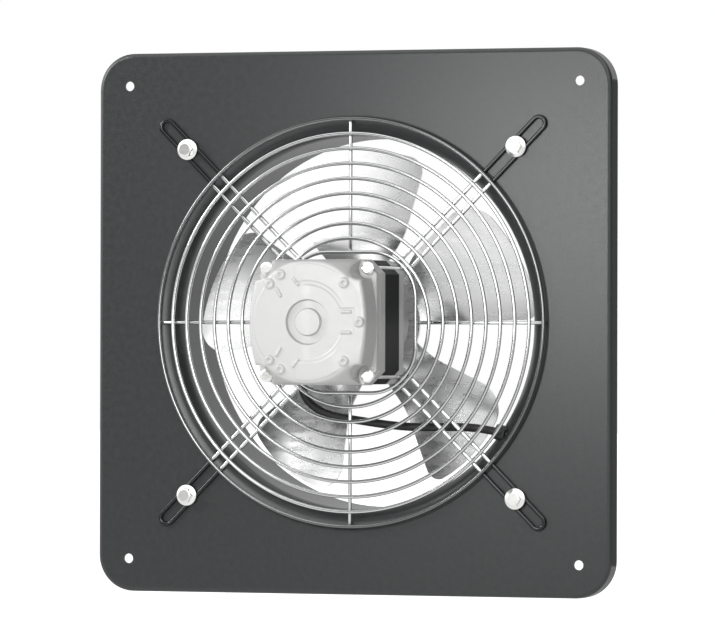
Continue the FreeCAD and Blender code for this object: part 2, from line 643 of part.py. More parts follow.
def make_bearings():
    """Sintered bushes, each held in its shield by a felt ring and a spring clip."""
    bore = "sizes.shaft_dia / 2 + sizes.bush_clearance"
    for label, middle in (("rear_bearing", REAR_BUSH), ("front_bearing", FRONT_BUSH)):
        ball = doc.addObject("Part::Sphere", f"{label}_ball")
        bind(ball, Radius="sizes.bush_radius")
        place(ball, 0.0, middle, 0.0, Rotation())
        ends = cylinder(f"{label}_ends", "sizes.bush_radius + 1", "sizes.bush_length",
                        f"{middle} - sizes.bush_length / 2")
        hole = cylinder(f"{label}_hole", bore, "sizes.bush_length + 2",
                        f"{middle} - sizes.bush_length / 2 - 1")
        publish(cut(label, common(f"{label}_solid", [ball, ends]), hole), label)
    felt_radius, felt_hole, felt_height = 7.9, 4.4, 3.0
    clip_radius, clip_hole, clip_height = 8.0, 5.0, 0.8
    felts, clips = [], []
    for tag, y in (("rear", REAR_BUSH + 5.0), ("front", FRONT_BUSH - 8.0)):
        felt = cylinder(f"{tag}_felt_blank", felt_radius, felt_height, y)
        felts.append(cut(f"{tag}_felt", felt, cylinder(f"{tag}_felt_hole", felt_hole, felt_height, y)))
    for tag, y in (("rear", REAR_BUSH + 8.4), ("front", FRONT_BUSH + 5.2)):
        clip = cylinder(f"{tag}_clip_blank", clip_radius, clip_height, y)
        clips.append(cut(f"{tag}_clip", clip, cylinder(f"{tag}_clip_hole", clip_hole, clip_height, y)))
    publish(group("felt_set", felts), "oil_felts")
    publish(group("clip_set", clips), "bearing_clips")


def make_rotor():
    """Squirrel-cage rotor pressed on the shaft."""
    length = "sizes.stack_back - sizes.stack_front"
    core = cylinder("rotor_blank", "sizes.rotor_radius", length, "sizes.stack_front")
    core_hole = cylinder("rotor_hole", "sizes.shaft_dia / 2", length, "sizes.stack_front")
    publish(cut("rotor_core", core, core_hole), "rotor_core")
    cage_height, cage_hole = 4.0, 13.0
    shaft_start, shaft_length = -77.0, 126.0
    cages = []
    for tag, y in (("rear", f"sizes.stack_front - {cage_height}"), ("front", "sizes.stack_back")):
        ring = cylinder(f"cage_{tag}_out", "sizes.cage_radius", cage_height, y)
        cages.append(cut(f"cage_{tag}", ring, cylinder(f"cage_{tag}_in", cage_hole, cage_height, y)))
    publish(group("cage_set", cages), "rotor_end_rings")
    publish(cylinder("shaft", "sizes.shaft_dia / 2", shaft_length, shaft_start), "motor_shaft")
    thrust_radius, thrust_height = 6.5, 1.0
    washers = []
    for tag, y in (("rear", "sizes.stack_front - 3"), ("front", "sizes.stack_back + 1")):
        ring = cylinder(f"thrust_{tag}_out", thrust_radius, thrust_height, y)
        ring_hole = cylinder(f"thrust_{tag}_in", "sizes.shaft_dia / 2", thrust_height, y)
        washers.append(cut(f"thrust_{tag}", ring, ring_hole))
    publish(group("thrust_set", washers), "thrust_washers")


def make_motor_fasteners():
    """Long screws clamp both shields and the stack to the guard's arms."""
    bolts, washers, nuts = [], [], []
    seat = "sizes.pocket_floor"
    crown, slot_width, slot_depth, screw_end = 1.0, 1.2, 1.4, 5.5
    for number, (x, z) in enumerate(four_corners("sizes.motor_bolt_pitch")):
        tag = f"motor_bolt_{number + 1}"
        shank = cylinder(f"{tag}_shank", "sizes.motor_bolt_dia / 2", f"{screw_end} - {seat}", seat, x, z)
        head = cylinder(f"{tag}_head", "sizes.m4_head_dia / 2", f"sizes.m4_head_height - {crown}",
                        f"{seat} - sizes.m4_head_height + {crown}", x, z)
        dome = cone(f"{tag}_dome", "sizes.m4_head_dia / 2 - 1.4", "sizes.m4_head_dia / 2", crown,
                    f"{seat} - sizes.m4_head_height", x, z)
        slot = box(f"{tag}_slot", "sizes.m4_head_dia", slot_depth, slot_width, f"{x} - sizes.m4_head_dia / 2",
                   f"{seat} - sizes.m4_head_height", f"{z} - {slot_width / 2}")
        bolts.append(cut(tag, fuse(f"{tag}_solid", [shank, head, dome]), slot))
        washer = cylinder(f"{tag}_washer_out", "sizes.m4_washer_dia / 2", "sizes.m4_washer", 0.0, x, z)
        washer_hole = cylinder(f"{tag}_washer_in", "sizes.motor_bolt_dia / 2 + 0.2", "sizes.m4_washer",
                               0.0, x, z)
        washers.append(cut(f"{tag}_washer", washer, washer_hole))
        nut = hexagon(f"{tag}_nut_blank", "sizes.m4_nut_radius", "sizes.m4_nut", "sizes.m4_washer", x, z)
        thread = cylinder(f"{tag}_nut_bore", "sizes.motor_bolt_dia / 2", "sizes.m4_nut",
                          "sizes.m4_washer", x, z)
        nuts.append(cut(f"{tag}_nut", nut, thread))
    publish(group("motor_bolt_set", bolts), "motor_bolts")
    publish(group("motor_washer_set", washers), "motor_washers")
    publish(group("motor_nut_set", nuts), "motor_nuts")


# ---------------------------------------------------------------- impeller
def smooth_step(value, low, high):
    share = min(max((value - low) / (high - low), 0.0), 1.0)
    return share * share * (3 - 2 * share)


def blade_height(along, across):
    """Height over the hub plane: flat at the hub, then a slightly cupped helix, steeper nearer the hub."""
    twist = smooth_step(along, 31.0, 62.0)
    cup = 0.0012 * (across * across - 500.0)
    return -twist * (BLADE_RISE * across / max(along, 45.0) - cup)


def blade_outline():
    """Blade seen along the axis: u runs out along its middle, v towards its leading edge."""
    tip = SIZES["tip_radius"]

    def polar(radius, degrees):
        angle = math.radians(degrees)
        return Vector(radius * math.cos(angle), 0, radius * math.sin(angle))

    root_low = polar(34.0, -30.0)
    trail_root = polar(42.0, -25.0)
    trail_end = polar(tip - 10.0, -23.8)
    trail_corner = polar(tip, -18.6)
    lead_corner = polar(tip, 12.5)
    lead_end = polar(100.0, 22.5)
    lead_root = polar(42.0, 25.0)
    root_high = polar(34.0, 30.0)
    edges = [
        Part.LineSegment(root_low, trail_root),
        Part.LineSegment(trail_root, trail_end),
        Part.Arc(trail_end, polar(tip - 2.6, -21.8), trail_corner),
        Part.Arc(trail_corner, polar(tip, -3.0), lead_corner),
        Part.Arc(lead_corner, polar(tip - 5.4, 18.9), lead_end),
        Part.LineSegment(lead_end, lead_root),
        Part.LineSegment(lead_root, root_high),
        Part.LineSegment(root_high, root_low),
    ]
    return Part.Wire([edge.toShape() for edge in edges])


def rivet_places():
    """Centres of the four hub rivets."""
    turns = [math.radians(45 + 90 * number) for number in range(4)]
    return [(RIVET_CIRCLE * math.cos(turn), RIVET_CIRCLE * math.sin(turn)) for turn in turns]


def make_impeller():
    """One pressing: a flat centre and five twisted blades."""
    grid = []
    for step_u in range(20):
        along = 22.0 + step_u * 5.2
        grid.append([Vector(along, SIZES["hub_plane"] + blade_height(along, across), across)
                     for across in range(-60, 61, 10)])
    skin = Part.BSplineSurface()
    skin.interpolate(grid)
    skin_face = skin.toShape()
    skin_face.translate(Vector(0, -SIZES["blade_sheet"] / 2, 0))
    slab = skin_face.extrude(Vector(0, SIZES["blade_sheet"], 0))
    outline = Part.Face(blade_outline())
    outline.translate(Vector(0, -20, 0))
    blade = slab.common(outline.extrude(Vector(0, 110, 0)))
    blades = []
    for number in range(BLADE_COUNT):
        turned = blade.copy()
        turned.rotate(Vector(), Vector(0, 1, 0), -(FIRST_BLADE + 360.0 / BLADE_COUNT * number))
        blades.append(turned)
    disc = Part.makeCylinder(SIZES["disc_radius"], 2 * SIZES["disc_half"],
                             Vector(0, SIZES["hub_plane"] - SIZES["disc_half"], 0), Vector(0, 1, 0))
    pressing = disc.fuse(blades)
    bore = Part.makeCylinder(SIZES["shaft_dia"] / 2, 40, Vector(0, 10, 0), Vector(0, 1, 0))
    pressing = pressing.cut(bore)
    for x, z in rivet_places():
        hole = Part.makeCylinder(SIZES["rivet_dia"] / 2, 40, Vector(x, 10, z), Vector(0, 1, 0))
        pressing = pressing.cut(hole)
    publish(feature("impeller", pressing), "impeller")


def make_hub():
    """Zinc hub on the shaft, riveted to the back of the pressing and held by a nut."""
    back = "sizes.hub_plane + sizes.disc_half"
    front = "sizes.hub_plane - sizes.disc_half"
    flange = cylinder("hub_flange", "sizes.hub_flange_radius", "sizes.hub_flange", back)
    boss = cylinder("hub_boss", "sizes.hub_boss_radius", "sizes.hub_length", back)
    holes = [cylinder("hub_bore", "sizes.shaft_dia / 2", "sizes.hub_length", back)]
    rivets = []
    head_height, tail_height = 1.3, 1.1
    for number, (x, z) in enumerate(rivet_places()):
        holes.append(cylinder(f"hub_rivet_hole_{number + 1}", "sizes.rivet_dia / 2", "sizes.hub_flange",
                              back, x, z))
        stem = cylinder(f"rivet_stem_{number + 1}", "sizes.rivet_dia / 2",
                        "2 * sizes.disc_half + sizes.hub_flange", front, x, z)
        head = cone(f"rivet_head_{number + 1}", 2.2, 3.6, head_height, f"{front} - {head_height}", x, z)
        tail = cone(f"rivet_tail_{number + 1}", 3.4, 2.4, tail_height, f"{back} + sizes.hub_flange", x, z)
        rivets.append(fuse(f"rivet_{number + 1}", [head, stem, tail]))
    solid = fuse("hub_solid", [flange, boss])
    publish(cut("impeller_hub", solid, fuse("hub_holes", holes)), "impeller_hub")
    publish(group("rivet_set", rivets), "hub_rivets")
    nut_radius, nut_height, nut_seat = 7.2, 4.5, f"{back} + sizes.hub_length"
    nut = hexagon("hub_nut_blank", nut_radius, nut_height, nut_seat, 0.0, 0.0)
    nut_bore = cylinder("hub_nut_bore", "sizes.shaft_dia / 2", nut_height, nut_seat)
    publish(cut("hub_nut", nut, nut_bore), "hub_nut")
    spacer_radius, spacer_length = 7.0, 8.0
    spacer_start = f"{front} - {spacer_length}"
    spacer = cylinder("spacer_blank", spacer_radius, spacer_length, spacer_start)
    spacer_bore = cylinder("spacer_bore", "sizes.shaft_dia / 2", spacer_length, spacer_start)
    publish(cut("hub_spacer", spacer, spacer_bore), "hub_spacer")


# ---------------------------------------------------------------- lead
COIL_CENTRE = Vector(129.0, 0.0, -129.0)
COIL_RADIUS = 31.0                  # middle of the turns
COIL_LOW, COIL_HIGH = 2.2, 13.4     # the coil lies between these, behind the plate's sheet
TIE_WIDTH = 6.0
CORE_DIA, CORE_LENGTH = 1.8, 16.0
CORE_HEIGHT = 10.6                  # y of the middle of the three cores
FERRULE_DIA, FERRULE_LENGTH = 2.1, 5.0

# Route of the lead from its strain relief to where it joins the coil, picked by hand.
LEAD_ROUTE = [
    (-39.5, 9.0, -34.0), (-39.5, 9.0, -45.0), (-34.0, 8.8, -54.5), (-24.5, 8.4, -61.0),
    (-12.0, 7.9, -64.5), (3.0, 7.3, -66.5), (22.0, 6.7, -69.2), (43.0, 6.3, -71.0),
    (63.0, 6.2, -70.6), (83.0, 6.3, -70.5), (99.0, 6.3, -72.8), (116.0, 6.3, -76.4),
    (133.0, 6.2, -82.0), (147.0, 5.6, -92.0), (156.0, 5.2, -106.0), (160.0, 5.1, -121.0),
]


def rounded_path(points):
    """Straight runs joined by tangent arcs, each arc as large as its two runs allow."""
    edges = []
    begin = points[0]
    radii = []
    for before, corner, after in zip(points, points[1:], points[2:]):
        inward = (corner - before).normalize()
        outward = (after - corner).normalize()
        half_turn = inward.getAngle(outward) / 2
        reach = 0.45 * min((corner - before).Length, (after - corner).Length)
        radii.append(reach / math.tan(half_turn))
        arc_start = corner - inward * reach
        arc_end = corner + outward * reach
        bisector = (outward - inward).normalize()
        middle = corner + bisector * (radii[-1] / math.cos(half_turn) - radii[-1])
        edges.append(Part.LineSegment(begin, arc_start).toShape())
        edges.append(Part.Arc(arc_start, middle, arc_end).toShape())
        begin = arc_end
    edges.append(Part.LineSegment(begin, points[-1]).toShape())
    print("lead arc radii:", " ".join(f"{radius:.0f}" for radius in radii))
    return Part.Wire(edges)


def tube(path, diameter):
    """Round cord along a path."""
    first = path.Edges[0]
    start = first.valueAt(first.FirstParameter)
    section = Part.Wire([Part.Circle(start, first.tangentAt(first.FirstParameter), diameter / 2).toShape()])
    solid = path.makePipeShell([section], True, True)
    expected = math.pi * diameter ** 2 / 4 * path.Length
    print(f"tube length {path.Length:.1f} mm, volume {solid.Volume:.0f} of {expected:.0f} mm3")
    return solid


def make_lead():
    """Black rubber lead: a free stretch, a tied coil, and three bared cores in ferrules."""
    diameter = SIZES["lead_dia"]
    route = [Vector(*point) for point in LEAD_ROUTE]
    publish(feature("lead", tube(rounded_path(route), diameter)), "lead")
    height = COIL_HIGH - COIL_LOW
    outside = Part.makeCylinder(COIL_RADIUS + diameter / 2, height,
                                COIL_CENTRE + Vector(0, COIL_LOW, 0), Vector(0, 1, 0))
    inside = Part.makeCylinder(COIL_RADIUS - diameter / 2, height,
                               COIL_CENTRE + Vector(0, COIL_LOW, 0), Vector(0, 1, 0))
    publish(feature("lead_coil", outside.cut(inside)), "lead_coil")
    print(f"lead coil turn {2 * math.pi * COIL_RADIUS:.0f} mm")


def make_strain_relief(shield):
    """Moulded elbow on the side of the front shield, with a tapered sleeve pointing down."""
    start_x, start_y, start_z = LEAD_ROUTE[0]
    width, depth, height, sleeve_length = 16.0, 9.0, 13.0, 12.0
    block = box("relief_block", width, depth, height, start_x - 6.0, start_y - depth / 2, start_z + 8.0)
    sleeve = cone("relief_sleeve", 3.4, 4.4, sleeve_length, start_y, start_x, start_z, Rotation())
    publish(cut("lead_strain_relief", fuse("relief_solid", [block, sleeve]), shield), "lead_strain_relief")


def make_lead_ends():
    """Tie round the coil and the three bared cores, each in its ferrule, leaving the coil's top along +X."""
    tie_x = COIL_CENTRE.x - COIL_RADIUS
    tie_z = COIL_CENTRE.z - TIE_WIDTH / 2
    outer_width, outer_depth, inner_width, inner_depth = 8.4, 12.3, 6.2, 11.4
    tie_out = box("tie_out", outer_width, outer_depth, TIE_WIDTH, tie_x - outer_width / 2,
                  COIL_LOW - 0.6, tie_z)
    tie_in = box("tie_in", inner_width, inner_depth, TIE_WIDTH, tie_x - inner_width / 2,
                 COIL_LOW - 0.1, tie_z)
    publish(cut("coil_tie", tie_out, tie_in), "coil_tie")
    along_x = Rotation(Vector(0, 0, 1), Vector(1, 0, 0))
    top = COIL_CENTRE.z + COIL_RADIUS
    cores = []
    for number, (aside, up) in enumerate(((-0.65, -1.1), (-0.65, 1.1), (1.1, 0.0))):
        core = cylinder(f"core_{number + 1}", CORE_DIA / 2, CORE_LENGTH, CORE_HEIGHT + aside, COIL_CENTRE.x,
                        top + up, along_x)
        ferrule = cylinder(f"ferrule_{number + 1}", FERRULE_DIA / 2, FERRULE_LENGTH, CORE_HEIGHT + aside,
                           COIL_CENTRE.x + CORE_LENGTH, top + up, along_x)
        cores.append(fuse(f"core_end_{number + 1}", [core, ferrule]))
    publish(group("core_set", cores), "lead_cores")


# ---------------------------------------------------------------- assembly
plate_blank = make_plate_blank()
make_mounting_plate(plate_blank)
make_grommet(plate_blank)
make_guard_rings()
make_motor_ring()
make_guard_arms()
make_guard_spokes()
make_guard_fasteners()
make_stator()
make_windings()
make_rear_end_shield()
make_front_end_shield()
make_bearings()
make_rotor()
make_motor_fasteners()
make_impeller()
make_hub()
make_lead()
make_strain_relief(doc.getObject("front_end_shield"))
make_lead_ends()

doc.recompute()
for item in doc.Objects:
    if "Invalid" in item.State or "Error" in item.State:
        raise RuntimeError(f"{item.Name} failed: {item.State}")
for node in nodes:
    if node.Shape.isNull() or not node.Shape.isValid():
        raise RuntimeError(f"{node.Label} has no valid shape")

os.makedirs("parts", exist_ok=True)
for node in nodes:
    node.Shape.exportStep(f"parts/{node.Label}.step")
    box_now = node.Shape.BoundBox
    print(f"{node.Label:20} solids {len(node.Shape.Solids):2} volume {node.Shape.Volume:10.1f}  "
          f"x {box_now.XMin:7.1f} {box_now.XMax:7.1f}  y {box_now.YMin:6.1f} {box_now.YMax:6.1f}  "
          f"z {box_now.ZMin:7.1f} {box_now.ZMax:7.1f}")
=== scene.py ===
import math

import bmesh
import bpy
from mathutils import Matrix, Vector


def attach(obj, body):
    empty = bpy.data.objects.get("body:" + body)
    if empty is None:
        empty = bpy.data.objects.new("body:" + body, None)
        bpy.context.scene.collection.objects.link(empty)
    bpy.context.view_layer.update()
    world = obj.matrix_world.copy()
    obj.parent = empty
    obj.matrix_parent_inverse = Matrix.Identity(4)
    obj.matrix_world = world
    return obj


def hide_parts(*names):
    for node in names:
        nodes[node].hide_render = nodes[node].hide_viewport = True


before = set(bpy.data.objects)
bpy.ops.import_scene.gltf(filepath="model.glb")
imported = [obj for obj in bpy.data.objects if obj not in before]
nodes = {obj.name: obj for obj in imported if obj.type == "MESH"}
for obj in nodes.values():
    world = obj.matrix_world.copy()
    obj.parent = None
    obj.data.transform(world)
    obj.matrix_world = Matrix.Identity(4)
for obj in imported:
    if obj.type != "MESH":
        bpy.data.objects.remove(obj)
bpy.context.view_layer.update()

scene = bpy.context.scene

# ------------------------------------------------------------------ camera
# A long lens from the right of the fan, level with its shaft. The plate hangs upright and the motor comes
# towards the lens.
lens = bpy.data.cameras.new("long_lens")
lens.sensor_width = 36.0
lens.lens = 300.6
lens.clip_end = 60.0
camera = bpy.data.objects.new("camera", lens)
scene.collection.objects.link(camera)
swing = Matrix.Rotation(math.radians(19.786), 4, "Z")
tilt = Matrix.Rotation(math.radians(90.238), 4, "X")
roll = Matrix.Rotation(math.radians(0.142), 4, "Z")
camera.matrix_world = Matrix.Translation((1.3773, -3.8157, -0.0151)) @ swing @ tilt @ roll
scene.camera = camera
scene.view_settings.view_transform = "Standard"

# ------------------------------------------------------------------ lead
# Round three-core lead in a soft black rubber jacket. It leaves its strain relief pointing down, crosses
# under the motor, goes through the grommet and is wound up behind the plate, with its cores bared.
LEAD_DIAMETER = 0.0056
COIL_MIDDLE = Vector((0.129, 0.0, -0.129))
COIL_RADIUS = 0.031

lead_route = [
    (-0.0395, 0.0090, -0.0340), (-0.0395, 0.0090, -0.0450), (-0.0340, 0.0088, -0.0545),
    (-0.0245, 0.0084, -0.0610), (-0.0120, 0.0079, -0.0645), (0.0030, 0.0073, -0.0665),
    (0.0220, 0.0067, -0.0692), (0.0430, 0.0063, -0.0710), (0.0630, 0.0062, -0.0706),
    (0.0830, 0.0063, -0.0705), (0.0990, 0.0063, -0.0728), (0.1160, 0.0063, -0.0764),
    (0.1330, 0.0062, -0.0820), (0.1470, 0.0056, -0.0920), (0.1560, 0.0052, -0.1060),
    (0.1600, 0.0051, -0.1210),
]
TURNS, TURN_STEPS = 1.75, 14
TURN_DEPTH, CLIMB_START = 0.0051, 10
for step in range(1, round(TURNS * TURN_STEPS) + 1):
    angle = -2 * math.pi * step / TURN_STEPS
    depth = TURN_DEPTH + LEAD_DIAMETER * min(max(step - CLIMB_START, 0) / TURN_STEPS, 1.0)
    lead_route.append((COIL_MIDDLE.x + COIL_RADIUS * math.cos(angle), depth,
                       COIL_MIDDLE.z + COIL_RADIUS * math.sin(angle)))

lead_line = bpy.data.curves.new("lead_line", "CURVE")
lead_line.dimensions = "3D"
lead_line.bevel_depth = 1.0
lead_line.bevel_resolution = 5
lead_line.use_fill_caps = True
lead_spline = lead_line.splines.new("NURBS")
lead_spline.points.add(len(lead_route) - 1)
for point, place in zip(lead_spline.points, lead_route):
    point.co = (*place, 1.0)
    point.radius = LEAD_DIAMETER / 2
lead_spline.order_u = 3
lead_spline.use_endpoint_u = True
lead_spline.resolution_u = 8
lead_cord = bpy.data.objects.new("lead_cord", lead_line)
scene.collection.objects.link(lead_cord)
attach(lead_cord, "frame")
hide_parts("lead", "lead_coil")


def material(name):
    """A new node material with its shader and its tree."""
    made = bpy.data.materials.new(name)
    made.use_nodes = True
    return made, made.node_tree, made.node_tree.nodes["Principled BSDF"]


def finish(shader, colour, roughness, metallic=0.0, **others):
    """Set the shader's plain values."""
    shader.inputs["Base Color"].default_value = (*colour, 1.0)
    shader.inputs["Roughness"].default_value = roughness
    shader.inputs["Metallic"].default_value = metallic
    for socket, value in others.items():
        shader.inputs[socket.replace("_", " ")].default_value = value


def dress(surface, *pieces):
    """Put one material on whole pieces."""
    for piece in pieces:
        piece.data.materials.clear()
        piece.data.materials.append(surface)


def grain(tree, scale, detail=3.0, stretch=(1.0, 1.0, 1.0)):
    """Noise in the piece's own metres; stretch draws it out along an axis. Returns its height socket."""
    coordinates = tree.nodes.new("ShaderNodeTexCoord")
    mapping = tree.nodes.new("ShaderNodeMapping")
    mapping.inputs["Scale"].default_value = stretch
    noise = tree.nodes.new("ShaderNodeTexNoise")
    noise.inputs["Scale"].default_value = scale
    noise.inputs["Detail"].default_value = detail
    tree.links.new(coordinates.outputs["Object"], mapping.inputs["Vector"])
    tree.links.new(mapping.outputs["Vector"], noise.inputs["Vector"])
    return noise.outputs["Fac"]


def spread(tree, height, low, high, start=0.3, end=0.7):
    """Turn a height into a plain value between two numbers."""
    ramp = tree.nodes.new("ShaderNodeMapRange")
    ramp.inputs["From Min"].default_value = start
    ramp.inputs["From Max"].default_value = end
    ramp.inputs["To Min"].default_value = low
    ramp.inputs["To Max"].default_value = high
    tree.links.new(height, ramp.inputs["Value"])
    return ramp.outputs["Result"]


def relief(tree, shader, height, distance):
    """Bump from a height socket; distance is in metres."""
    bump = tree.nodes.new("ShaderNodeBump")
    bump.inputs["Distance"].default_value = distance
    tree.links.new(height, bump.inputs["Height"])
    tree.links.new(bump.outputs["Normal"], shader.inputs["Normal"])


def two_tone(tree, shader, height, dark, light, start=0.3, end=0.7):
    """Colour that drifts between two tones."""
    mix = tree.nodes.new("ShaderNodeMix")
    mix.data_type = "RGBA"
    mix.inputs["A"].default_value = (*dark, 1.0)
    mix.inputs["B"].default_value = (*light, 1.0)
    tree.links.new(spread(tree, height, 0.0, 1.0, start, end), mix.inputs["Factor"])
    tree.links.new(mix.outputs["Result"], shader.inputs["Base Color"])


jacket, tree, shader = material("rubber_jacket")
finish(shader, (0.012, 0.012, 0.013), 0.5)
relief(tree, shader, grain(tree, 700.0), 0.00008)
dress(jacket, lead_cord)

# ------------------------------------------------------------------ mounting plate
# One steel pressing: a square tray with a drawn bell mouth and nozzle, coated in a dark grey that is nearly
# black, with a fine orange peel. The return edge is given a duller surface, a choice of look.
PLATE_HALF = 0.185
DULL_FROM, DULL_TO = PLATE_HALF - 0.0004, PLATE_HALF - 0.0001


def distance_to_side(tree):
    """The larger of the distances from the axis across and up, in metres."""
    coordinates = tree.nodes.new("ShaderNodeTexCoord")
    size = tree.nodes.new("ShaderNodeVectorMath")
    size.operation = "ABSOLUTE"
    parts = tree.nodes.new("ShaderNodeSeparateXYZ")
    larger = tree.nodes.new("ShaderNodeMath")
    larger.operation = "MAXIMUM"
    tree.links.new(coordinates.outputs["Object"], size.inputs[0])
    tree.links.new(size.outputs["Vector"], parts.inputs["Vector"])
    tree.links.new(parts.outputs["X"], larger.inputs[0])
    tree.links.new(parts.outputs["Z"], larger.inputs[1])
    return larger.outputs["Value"]


paint, tree, shader = material("dark_powder_coat")
finish(shader, (0.014, 0.016, 0.017), 0.36, Specular_IOR_Level=0.65)
mottle = grain(tree, 260.0, 5.0)
two_tone(tree, shader, mottle, (0.011, 0.0125, 0.013), (0.016, 0.018, 0.019))
duller = tree.nodes.new("ShaderNodeMath")
duller.operation = "MAXIMUM"
tree.links.new(spread(tree, mottle, 0.345, 0.38), duller.inputs[0])
tree.links.new(spread(tree, distance_to_side(tree), 0.0, 0.95, DULL_FROM, DULL_TO), duller.inputs[1])
tree.links.new(duller.outputs["Value"], shader.inputs["Roughness"])
relief(tree, shader, grain(tree, 900.0, 4.0), 0.00006)
dress(paint, nodes["mounting_plate"])

# ------------------------------------------------------------------ guard
# Round steel wire, cut, bent and spot welded, then bright plated as one piece: rings in front, spokes and
# hairpin arms behind them. Where it lies over the plate its colour is painted dark, a painted reflection of
# the dark plate; the real plating is the same along the whole wire.
WIRE_SIDES, WELD = 20, 0.00001
RING_WIRE, ARM_WIRE = 0.0025, 0.0028
RING_DEPTH, ARM_DEPTH, SPOKE_DEPTH = -0.00405, -0.0014, -0.00155
OUTER_RING, RING_PITCH, RING_STEPS = 0.1387, 0.01018, 240
MOTOR_RING_HALF, MOTOR_RING_CORNER, CORNER_STEPS = 0.04775, 0.032, 24
ARM_OUTER, ARM_INNER, ARM_BEND, ARM_STEPS = 0.1895, 0.0509, 0.0045, 16
SPOKE_INNER, SPOKE_OUTER, SPOKE_ROUND = 0.0465, 0.140, 0.0002
BRIGHT, PAINTED_DARK_REFLECTION = (0.60, 0.61, 0.61), (0.045, 0.047, 0.048)
PAINTED_DARK_FROM, PAINTED_DARK_TO = 0.1345, 0.1405
AXIS = (0.0, 0.0, 0.0)


def distance_to_axis(tree):
    """Distance from the fan's axis, in metres."""
    coordinates = tree.nodes.new("ShaderNodeTexCoord")
    flat = tree.nodes.new("ShaderNodeVectorMath")
    flat.operation = "MULTIPLY"
    flat.inputs[1].default_value = (1.0, 0.0, 1.0)
    length = tree.nodes.new("ShaderNodeVectorMath")
    length.operation = "LENGTH"
    tree.links.new(coordinates.outputs["Object"], flat.inputs[0])
    tree.links.new(flat.outputs["Vector"], length.inputs[0])
    return length.outputs["Value"]


def smooth_piece(name, shape, sharp_degrees):
    """Finished object from a bmesh, smooth except across sharper edges."""
    bmesh.ops.recalc_face_normals(shape, faces=shape.faces)
    mesh = bpy.data.meshes.new(name)
    shape.to_mesh(mesh)
    shape.free()
    for face in mesh.polygons:
        face.use_smooth = True
    mesh.set_sharp_from_angle(angle=math.radians(sharp_degrees))
    piece = bpy.data.objects.new(name, mesh)
    scene.collection.objects.link(piece)
    return piece


def wire_end(shape, diameter, place, along_x=False):
    """The round section that a wire starts from, square to Z, or to X where the wire lies along X."""
    turn = Matrix.Rotation(math.pi / 2, 4, "Y") if along_x else Matrix.Identity(4)
    bmesh.ops.create_circle(shape, segments=WIRE_SIDES, radius=diameter / 2,
                            matrix=Matrix.Translation(place) @ turn)
    return shape.edges[:]


def open_end(parts):
    """The edges round a wire's open end, among the parts just drawn."""
    return [part for part in parts if isinstance(part, bmesh.types.BMEdge) and part.is_boundary]


def run_on(shape, end, way):
    """Draw a wire's open end straight on; returns its new end."""
    drawn = bmesh.ops.extrude_edge_only(shape, edges=end)["geom"]
    tips = [part for part in drawn if isinstance(part, bmesh.types.BMVert)]
    bmesh.ops.translate(shape, vec=way, verts=tips)
    return open_end(drawn)


def bend_on(shape, end, middle, degrees, steps):
    """Bend a wire's open end round a point, from +X towards +Z; returns its new end."""
    bent = bmesh.ops.spin(shape, geom=end, cent=middle, axis=(0.0, -1.0, 0.0), angle=math.radians(degrees),
                          steps=steps)
    return open_end(bent["geom_last"])


def turn_about_axis(shape, degrees):
    """Turn a wire about the fan's axis, from +X towards +Z."""
    turn = Matrix.Rotation(-math.radians(degrees), 3, "Y")
    bmesh.ops.rotate(shape, verts=shape.verts, cent=AXIS, matrix=turn)


def guard_piece(name, shape, replaced):
    """Weld the wire's two ends, and put the piece on the fan."""
    bmesh.ops.remove_doubles(shape, verts=shape.verts, dist=WELD)
    piece = smooth_piece(name, shape, 60.0)
    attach(piece, "frame")
    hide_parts(replaced)
    dress(chrome, piece)


chrome, tree, shader = material("bright_plated_wire")
finish(shader, BRIGHT, 0.12, 1.0)
relief(tree, shader, grain(tree, 300.0), 0.000008)
# Painted reflection: the wire's colour goes dark past the outer ring, where it would mirror the dark plate.
two_tone(tree, shader, distance_to_axis(tree), BRIGHT, PAINTED_DARK_REFLECTION, PAINTED_DARK_FROM, PAINTED_DARK_TO)

for number in range(9):
    shape = bmesh.new()
    end = wire_end(shape, RING_WIRE, (OUTER_RING - RING_PITCH * number, RING_DEPTH, 0.0))
    bend_on(shape, end, AXIS, 360.0, RING_STEPS)
    guard_piece(f"guard_ring_wire_{number + 1}", shape, f"guard_ring_{number + 1}")

straight = MOTOR_RING_HALF - MOTOR_RING_CORNER
shape = bmesh.new()
end = wire_end(shape, RING_WIRE, (MOTOR_RING_HALF, RING_DEPTH, -straight))
for way_x, way_z in ((0, 1), (-1, 0), (0, -1), (1, 0)):
    end = run_on(shape, end, (2 * straight * way_x, 0.0, 2 * straight * way_z))
    middle = (straight * (way_x + way_z), 0.0, straight * (way_z - way_x))
    end = bend_on(shape, end, middle, 90.0, CORNER_STEPS)
guard_piece("motor_ring_wire", shape, "guard_motor_ring")

for number in range(4):
    shape = bmesh.new()
    end = wire_end(shape, ARM_WIRE, (ARM_OUTER, ARM_DEPTH, -ARM_BEND), along_x=True)
    end = bend_on(shape, end, (ARM_OUTER, 0.0, 0.0), 180.0, ARM_STEPS)
    end = run_on(shape, end, (ARM_INNER - ARM_OUTER, 0.0, 0.0))
    end = bend_on(shape, end, (ARM_INNER, 0.0, 0.0), 180.0, ARM_STEPS)
    run_on(shape, end, (ARM_OUTER - ARM_INNER, 0.0, 0.0))
    turn_about_axis(shape, 45 + 90 * number)
    guard_piece(f"arm_wire_{number + 1}", shape, f"guard_arm_{number + 1}")

